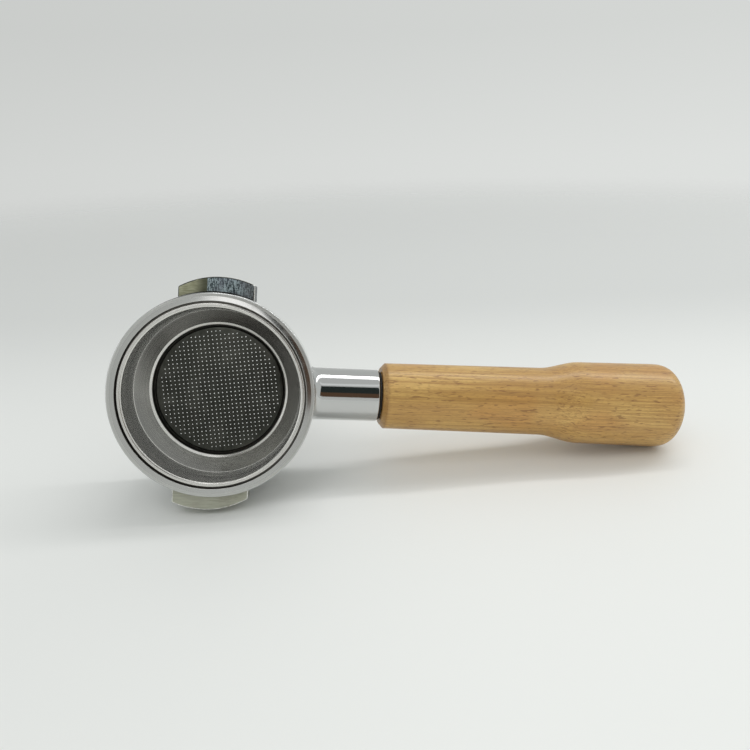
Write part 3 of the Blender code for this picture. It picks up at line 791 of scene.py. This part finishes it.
def make_ear(name, node, sign, finish, edge, end):
    """Locking ear with softened edges and its two lead-in slopes; sign is 1 for the ear on the
    side of +Y and -1 for the other. Its front corners and its far end take the edge and end
    finishes passed in, whose tones are painted shade and painted highlights."""
    outer = [
        (x, EAR_ARC_CENTRE + math.sqrt(EAR_ARC_R ** 2 - (x - EAR_ARC_SHIFT) ** 2))
        for x in np.linspace(-EAR_HALF_WIDTH, EAR_HALF_WIDTH, EAR_STATIONS)
    ]
    reach = math.asin(EAR_HALF_WIDTH / EAR_INNER_R)
    inner = [
        (EAR_INNER_R * math.sin(a), EAR_INNER_R * math.cos(a))
        for a in np.linspace(reach, -reach, EAR_STATIONS)
    ]
    shape = bmesh.new()
    low = [shape.verts.new((sign * x * MM, sign * y * MM, -EAR_BACK * MM)) for x, y in outer + inner]
    face = shape.faces.new(low)
    raised = bmesh.ops.extrude_face_region(shape, geom=[face])
    for vert in (g for g in raised["geom"] if isinstance(g, bmesh.types.BMVert)):
        vert.co.z = -EAR_FRONT * MM
    for start in (EAR_LEAD_START, EAR_SEAT_LEAD_START):
        everything = shape.verts[:] + shape.edges[:] + shape.faces[:]
        bmesh.ops.bisect_plane(
            shape, geom=everything, plane_co=(-sign * start * MM, 0, 0), plane_no=(1, 0, 0))
    for vert in shape.verts:
        lead = -sign * vert.co.x / MM
        if vert.co.z > -(EAR_FRONT + EAR_BACK) / 2 * MM:
            along = (lead - EAR_LEAD_START) / (EAR_HALF_WIDTH - EAR_LEAD_START)
            vert.co.z -= EAR_LEAD_DROP * MM * max(0.0, along)
        else:
            along = (lead - EAR_SEAT_LEAD_START) / (EAR_HALF_WIDTH - EAR_SEAT_LEAD_START)
            vert.co.z += EAR_SEAT_LEAD_RISE * MM * max(0.0, along)
    bmesh.ops.recalc_face_normals(shape, faces=shape.faces[:])
    edges = [e for e in shape.edges if e.calc_face_angle(0.0) > EAR_SHARP]
    bmesh.ops.bevel(
        shape, geom=edges, offset=EAR_BEVEL * MM, segments=3, profile=0.5, affect="EDGES")
    bmesh.ops.remove_doubles(shape, verts=shape.verts[:], dist=0.04 * MM)
    bmesh.ops.dissolve_degenerate(shape, edges=shape.edges[:], dist=0.02 * MM)
    mesh = bpy.data.meshes.new(node)
    shape.to_mesh(mesh)
    shape.free()
    trailing = (EAR_HALF_WIDTH - 0.6) * MM
    front_zone = -(EAR_FRONT + EAR_LEAD_DROP + 0.4) * MM
    front_bevel = -(EAR_FRONT + EAR_BEVEL + 0.01) * MM
    edge_slot, end_slot = 1, 2
    for face in mesh.polygons:
        across = math.hypot(face.normal.x, face.normal.y)
        if across > 0.2 and face.center.z > front_zone:
            if face.center.x * sign > trailing:
                face.material_index = end_slot
            elif face.center.z > front_bevel or face.center.x * sign < 0:
                face.material_index = edge_slot
    return place(name, mesh, HEAD, "head", node, [finish, edge, end], crisp=20.0)


def thread_radius(angles, z, crest, root):
    """Radius of a right-hand thread at a height, for each angle."""
    crest_share, flank_share = 0.08, 0.34
    phase = (z / THREAD_PITCH - angles / math.tau) % 1.0
    flank = np.clip((np.abs(phase - 0.5) - crest_share) / flank_share, 0.0, 1.0)
    return root + (crest - root) * flank


def outside_of_ring(depth):
    start, end = BACK_STEP
    return np.interp(depth, [start, end], [RIM_R, BACK_R])


def root_distance(reach, angles):
    """Distance along the handle axis, from its origin on the ring, at which a line parallel to
    it and standing off by reach meets the ring's outside."""
    off = reach * np.cos(angles)
    across = reach * np.sin(angles)
    along = np.zeros_like(angles)
    for _ in range(20):
        depth = NECK_DEPTH + off * math.cos(DROOP) + along * math.sin(DROOP)
        inward = np.sqrt(outside_of_ring(depth) ** 2 - across ** 2)
        along = (inward - RIM_FRAME_R + off * math.sin(DROOP)) / math.cos(DROOP)
    return along


def make_neck():
    """Chromed neck: a fillet grown out of the ring, a straight barrel and a tapped socket."""
    angles = turn_angles(NECK_STEPS)

    def row(radius, along):
        return row_about_z(angles, radius, along - NECK_END)

    rows = [row(0.0, -1.2)[:1]]
    widest = NECK_R + NECK_FILLET
    root = root_distance(widest, angles)
    rows.append(row(widest, root - 0.8))
    for t in np.linspace(0.0, 1.0, 9) * math.pi / 2:
        reach = NECK_R + NECK_FILLET * (1 - math.sin(t))
        rows.append(row(reach, root_distance(reach, angles) + NECK_FILLET_LONG * (1 - math.cos(t))))
    start = root_distance(NECK_R, angles) + NECK_FILLET_LONG
    for share in np.linspace(0.06, 1.0, 12) ** 1.4:
        rows.append(row(NECK_R, start * (1 - share) + (NECK_END - NECK_EDGE) * share))
    rim = rounded([
        (NECK_R, NECK_END - NECK_EDGE, 0.0),
        (NECK_R, NECK_END, 0.55),
        (SOCKET_R + 0.5, NECK_END, 0.1),
        (SOCKET_R, NECK_END - 0.5, 0.0),
    ], steps=8)
    rows += [row(r, z) for r, z in rim[1:]]
    bottom = NECK_END - SOCKET_LENGTH
    for z in np.arange(NECK_END - 0.6, bottom, -THREAD_PITCH / THREAD_STEPS):
        fade = min(1.0, (NECK_END - z) / THREAD_PITCH)
        crest = SOCKET_R - SOCKET_THREAD * fade
        rows.append(row(thread_radius(angles, z - NECK_END, SOCKET_R, crest), z))
    rows.append(row(SOCKET_R - SOCKET_THREAD, bottom))
    rows.append(row(0.0, bottom - SOCKET_TIP)[:1])
    mesh = skin("neck", rows[::-1])
    fix_normals(mesh)
    return place("neck_polished", mesh, HANDLE, "head", "neck", [chrome()])


# ---------------------------------------------------------------- handle pieces

def make_washer():
    inner, outer = WASHER_R
    low, high = WASHER_SPAN
    corners = [(outer, high, 0.3), (outer, low, 0.3), (inner, low, 0.1), (inner, high, 0.1)]
    mesh = lathe("neck_washer", rounded(corners, closed=True, steps=5), 128, closed=True)
    return place("neck_washer_rubber", mesh, HANDLE, "washer", "neck_washer", [rubber()])


def make_stud():
    """Steel stud threaded over its whole length, with chamfered ends."""
    angles = turn_angles(64)
    low, high = STUD_SPAN
    rows = [ring_of(0.0, high)]
    for z in np.arange(high, low - 1e-6, -THREAD_PITCH / THREAD_STEPS):
        chamfer = STUD_R - max(0.0, STUD_CHAMFER - min(high - z, z - low))
        radius = thread_radius(angles, z, STUD_R, STUD_R - STUD_THREAD)
        rows.append(row_about_z(angles, np.minimum(radius, chamfer), z))
    rows.append(ring_of(0.0, low))
    mesh = skin("handle_stud", rows)
    return place("handle_stud_threaded", mesh, HANDLE, "handle", "handle_stud", [
        turned_metal("stud_steel", (0.62, 0.62, 0.64), (0.45, 0.45, 0.48), 0.32, 3000.0, 0.4),
    ], crisp=50.0)


def make_insert():
    """Brass sleeve with ridges that bite the wood outside and a plain clearance bore."""
    low, high = INSERT_SPAN
    ridge = 1.5
    corners = [(INSERT_R, high, 0.1)]
    for z in np.arange(high - ridge, low + 1.55, -ridge):
        corners += [(INSERT_R - 0.05, z, 0.05), (INSERT_GROOVE_R, z - ridge / 2, 0.1)]
    corners += [
        (INSERT_GROOVE_R, low + 1.25, 0.1),
        (INSERT_R, low + 0.95, 0.1),
        (INSERT_R, low, 0.25),
        (INSERT_BORE_R, low, 0.3),
        (INSERT_BORE_R, high, 0.1),
    ]
    mesh = lathe("handle_insert", rounded(corners, closed=True, steps=3), 96, closed=True)
    return place("handle_insert_brass", mesh, HANDLE, "handle", "handle_insert", [brass()])


def grip_radius(z):
    """Outside of the wood: a slow taper, a smooth flare, the fat part and the rounded tail."""
    chamfer_end = GRIP_START + GRIP_CHAMFER
    flare_start, flare_end = GRIP_FLARE
    if z <= flare_start:
        share = (z - chamfer_end) / (flare_start - chamfer_end)
        return GRIP_FRONT_R + (GRIP_WAIST_R - GRIP_FRONT_R) * share
    if z <= flare_end:
        share = (z - flare_start) / (flare_end - flare_start)
        return GRIP_WAIST_R + (GRIP_FAT_R - GRIP_WAIST_R) * share * share * (3 - 2 * share)
    if z <= GRIP_TAIL_START:
        share = (z - flare_end) / (GRIP_TAIL_START - flare_end)
        return GRIP_FAT_R + (GRIP_TAIL_R - GRIP_FAT_R) * share
    share = (z - GRIP_TAIL_START) / (GRIP_END - GRIP_TAIL_START)
    return GRIP_TAIL_R * max(0.0, 1 - share ** GRIP_TAIL_POWER) ** (1 / GRIP_TAIL_POWER)


def make_grip():
    tail = GRIP_END - GRIP_TAIL_START
    stations = [GRIP_TAIL_START + tail * math.sin(t * math.pi / 2) for t in np.linspace(1, 0, 40)]
    stations += list(np.arange(GRIP_TAIL_START - 1.0, GRIP_START + GRIP_CHAMFER + 0.5, -1.0))
    outside = [(0.0, GRIP_END)] + [(grip_radius(z), z) for z in stations[1:]]
    front = rounded([
        outside[-1] + (0.0,),
        (GRIP_FRONT_R, GRIP_START + GRIP_CHAMFER, 0.35),
        (GRIP_FACE_R, GRIP_START, 0.35),
        (GRIP_BORE_R, GRIP_START, 0.15),
        (GRIP_BORE_R, GRIP_BORE_END, 0.2),
        (GRIP_PILOT_R, GRIP_BORE_END, 0.2),
        (GRIP_PILOT_R, GRIP_PILOT_END, 0.4),
        (0.0, GRIP_PILOT_END, 0.0),
    ], steps=5)
    mesh = lathe("wooden_grip", outside + front[1:], GRIP_STEPS)
    return place("wooden_grip_turned", mesh, HANDLE, "handle", "wooden_grip", [beech()])


# ---------------------------------------------------------------- studio

def make_camera():
    """In front of the object, looking down at it with a slight roll."""
    heading, pitch, roll = (math.radians(a) for a in CAMERA_TURN)
    data = bpy.data.cameras.new("camera")
    data.sensor_width = CAMERA_SENSOR
    data.lens = CAMERA_LENS
    camera = bpy.data.objects.new("camera", data)
    bpy.context.scene.collection.objects.link(camera)
    forward = Vector((
        math.sin(heading) * math.cos(pitch), math.cos(heading) * math.cos(pitch), -math.sin(pitch),
    ))
    right = Vector((math.cos(heading), -math.sin(heading), 0.0))
    down = forward.cross(right)
    right, down = (
        math.cos(roll) * right + math.sin(roll) * down,
        -math.sin(roll) * right + math.cos(roll) * down,
    )
    turn = Matrix((right, -down, -forward)).transposed().to_4x4()
    camera.matrix_world = Matrix.Translation(CAMERA_PLACE) @ turn
    data.clip_start = 0.01
    bpy.context.scene.camera = camera


def make_floor():
    """Pale floor, with painted shade making it a little greyer behind and to the left, that fades
    into the surroundings.
    """
    mesh = bpy.data.meshes.new("floor")
    shape = bmesh.new()
    bmesh.ops.create_grid(shape, x_segments=2, y_segments=2, size=FLOOR_HALF)
    shape.to_mesh(mesh)
    shape.free()
    floor = bpy.data.objects.new("floor", mesh)
    bpy.context.scene.collection.objects.link(floor)
    r = Recipe("floor_paint", Roughness=0.55, Specular_IOR_Level=0.3)
    r.place = r.add("ShaderNodeTexCoord").outputs["Object"]
    cloud = r.noise(3.0, 3.0)
    parts = r.add("ShaderNodeSeparateXYZ", {0: r.place})
    paint = r.mix(r.between(cloud, 0.3, 0.7), (0.84, 0.85, 0.835), (0.86, 0.87, 0.855))
    # painted shade: the floor greyer to the left and behind
    left_painted_shade = r.between(parts.outputs[0], -0.16, 0.02, 0.5, 0.0)
    paint = r.mix(left_painted_shade, paint, (0.74, 0.75, 0.74))
    behind = r.between(parts.outputs[1], 0.02, 0.26)
    r.set(r.shader, {"Base_Color": r.mix(behind, paint, (0.66, 0.67, 0.662))})
    distance = r.add("ShaderNodeVectorMath", {0: r.place}, operation="LENGTH").outputs["Value"]
    clear = r.add("ShaderNodeBsdfTransparent")
    blend = r.add("ShaderNodeMixShader", {
        0: r.between(distance, *FLOOR_FADE),
        1: r.shader.outputs[0],
        2: clear.outputs[0],
    })
    output = r.tree.nodes["Material Output"]
    r.tree.links.new(blend.outputs[0], output.inputs["Surface"])
    mesh.materials.append(r.material)


def make_world():
    """Even pale surroundings, slightly brighter to the right."""
    world = bpy.data.worlds.new("studio")
    bpy.context.scene.world = world
    world.use_nodes = True
    tree = world.node_tree
    place_in = tree.nodes.new("ShaderNodeTexCoord")
    parts = tree.nodes.new("ShaderNodeSeparateXYZ")
    ramp = tree.nodes.new("ShaderNodeValToRGB")
    spread = tree.nodes.new("ShaderNodeMapRange")
    spread.inputs["From Min"].default_value = -1.0
    spread.inputs["From Max"].default_value = 1.0
    tree.links.new(place_in.outputs["Generated"], parts.inputs[0])
    tree.links.new(parts.outputs[2], spread.inputs["Value"])
    tree.links.new(spread.outputs[0], ramp.inputs["Fac"])
    while len(ramp.color_ramp.elements) < len(SKY):
        ramp.color_ramp.elements.new(0.5)
    for element, (position, colour) in zip(ramp.color_ramp.elements, SKY):
        element.position = position
        element.color = (*colour, 1.0)
    sideways = tree.nodes.new("ShaderNodeMapRange")
    dim, bright = SKY_STRENGTH
    for socket, value in (("From Min", -0.6), ("From Max", 0.6), ("To Min", dim), ("To Max", bright)):
        sideways.inputs[socket].default_value = value
    tree.links.new(parts.outputs[0], sideways.inputs["Value"])
    background = tree.nodes["Background"]
    tree.links.new(ramp.outputs[0], background.inputs["Color"])
    tree.links.new(sideways.outputs[0], background.inputs["Strength"])


def make_light(name, position, aim, size, size_y, power):
    """White rectangle of light with its long side level, in metres and watts."""
    data = bpy.data.lights.new(name, "AREA")
    data.shape = "RECTANGLE"
    data.size = size
    data.size_y = size_y
    data.energy = power
    light = bpy.data.objects.new(name, data)
    bpy.context.scene.collection.objects.link(light)
    light.location = position
    facing = (Vector(position) - Vector(aim)).normalized()
    across = Vector((1.0, 0.0, 0.0)) if facing.z > 0.7 else Vector((0.0, 0.0, 1.0)).cross(facing)
    across = (across - facing * across.dot(facing)).normalized()
    light.rotation_euler = Matrix((across, facing.cross(across), facing)).transposed().to_euler()
    light.visible_camera = False


def make_card(name, low_deg, high_deg, colour, left_deg, right_deg, radius=1.2):
    """Part of a sphere about the object, between two heights and two bearings from straight
    in front of it (positive to the right), seen only in the object's reflections."""
    around = np.radians(np.linspace(left_deg, right_deg, 25) - 90.0)
    heights = np.radians(np.linspace(low_deg, high_deg, 9))
    centre = Vector((0.0, 0.0, CARD_CENTRE_HEIGHT))
    verts = [
        centre + radius * Vector((math.cos(e) * math.cos(a), math.cos(e) * math.sin(a), math.sin(e)))
        for e in heights for a in around
    ]
    columns = len(around)
    faces = [
        (i * columns + j, i * columns + j + 1, (i + 1) * columns + j + 1, (i + 1) * columns + j)
        for i in range(len(heights) - 1) for j in range(columns - 1)
    ]
    mesh = bpy.data.meshes.new(name)
    mesh.from_pydata(verts, [], faces)
    card = bpy.data.objects.new(name, mesh)
    bpy.context.scene.collection.objects.link(card)
    mat = bpy.data.materials.new(name)
    mat.use_nodes = True
    tree = mat.node_tree
    glow = tree.nodes.new("ShaderNodeEmission")
    glow.inputs["Color"].default_value = (*colour, 1.0)
    tree.links.new(glow.outputs[0], tree.nodes["Material Output"].inputs["Surface"])
    mesh.materials.append(mat)
    card.visible_camera = False
    card.visible_diffuse = False
    card.visible_shadow = False


# ---------------------------------------------------------------- assembly

make_camera()
make_ring()
make_basket()
make_spring()
# Upper ear: its edge tone is painted shade and its far end a painted highlight.
make_ear("upper_ear_milled", "upper_ear", 1, milled_ear(),
         ear_edge("ear_edge_painted_shade", (0.06, 0.062, 0.055)),
         ear_edge("ear_end_painted_highlight", (0.75, 0.75, 0.73)))
# Lower ear: its worn edges and end are lightened with painted highlights.
make_ear("lower_ear_ground", "lower_ear", -1, satin_ear(),
         ear_edge("ear_edge_worn_painted_highlight", (0.85, 0.85, 0.82)),
         ear_edge("ear_end_worn_painted_highlight", (0.8, 0.8, 0.77)))
make_neck()
make_washer()
make_stud()
make_insert()
make_grip()

make_floor()
make_world()
# name, lowest and highest edge, brightness, left and right edge (degrees)
make_card("dark_card", 9.0, 54.0, (0.025, 0.032, 0.030), -4.5, 30.0)
make_card("brown_card", 8.5, 27.0, (0.11, 0.065, 0.04), -1.0, 30.0, 1.17)
make_card("white_card", 13.0, 28.0, (1.6, 1.6, 1.6), -11.0, -4.6)
make_card("pale_card", 58.5, 66.0, (0.9, 0.92, 0.92), 5.0, 60.0)
make_card("ceiling_card", 50.0, 80.0, (0.12, 0.12, 0.115), -110.0, -25.0)
# name, place, aim, length, width, power
make_light("top_strip", (0.5, 0.36, 1.0), (0.1, 0.0, 0.03), 1.4, 0.09, 3.3)
make_light("top_soft", (0.5, 0.21, 1.0), (0.1, 0.0, 0.03), 1.4, 0.18, 1.3)
make_light("window", (-1.15, -0.50, 0.35), (-0.07, -0.02, 0.04), 0.9, 0.6, 0.9)
make_light("front_top", (-0.45, -0.80, 1.50), (-0.05, 0.0, 0.03), 1.0, 0.7, 3.8)

bpy.context.scene.view_settings.view_transform = "Standard"
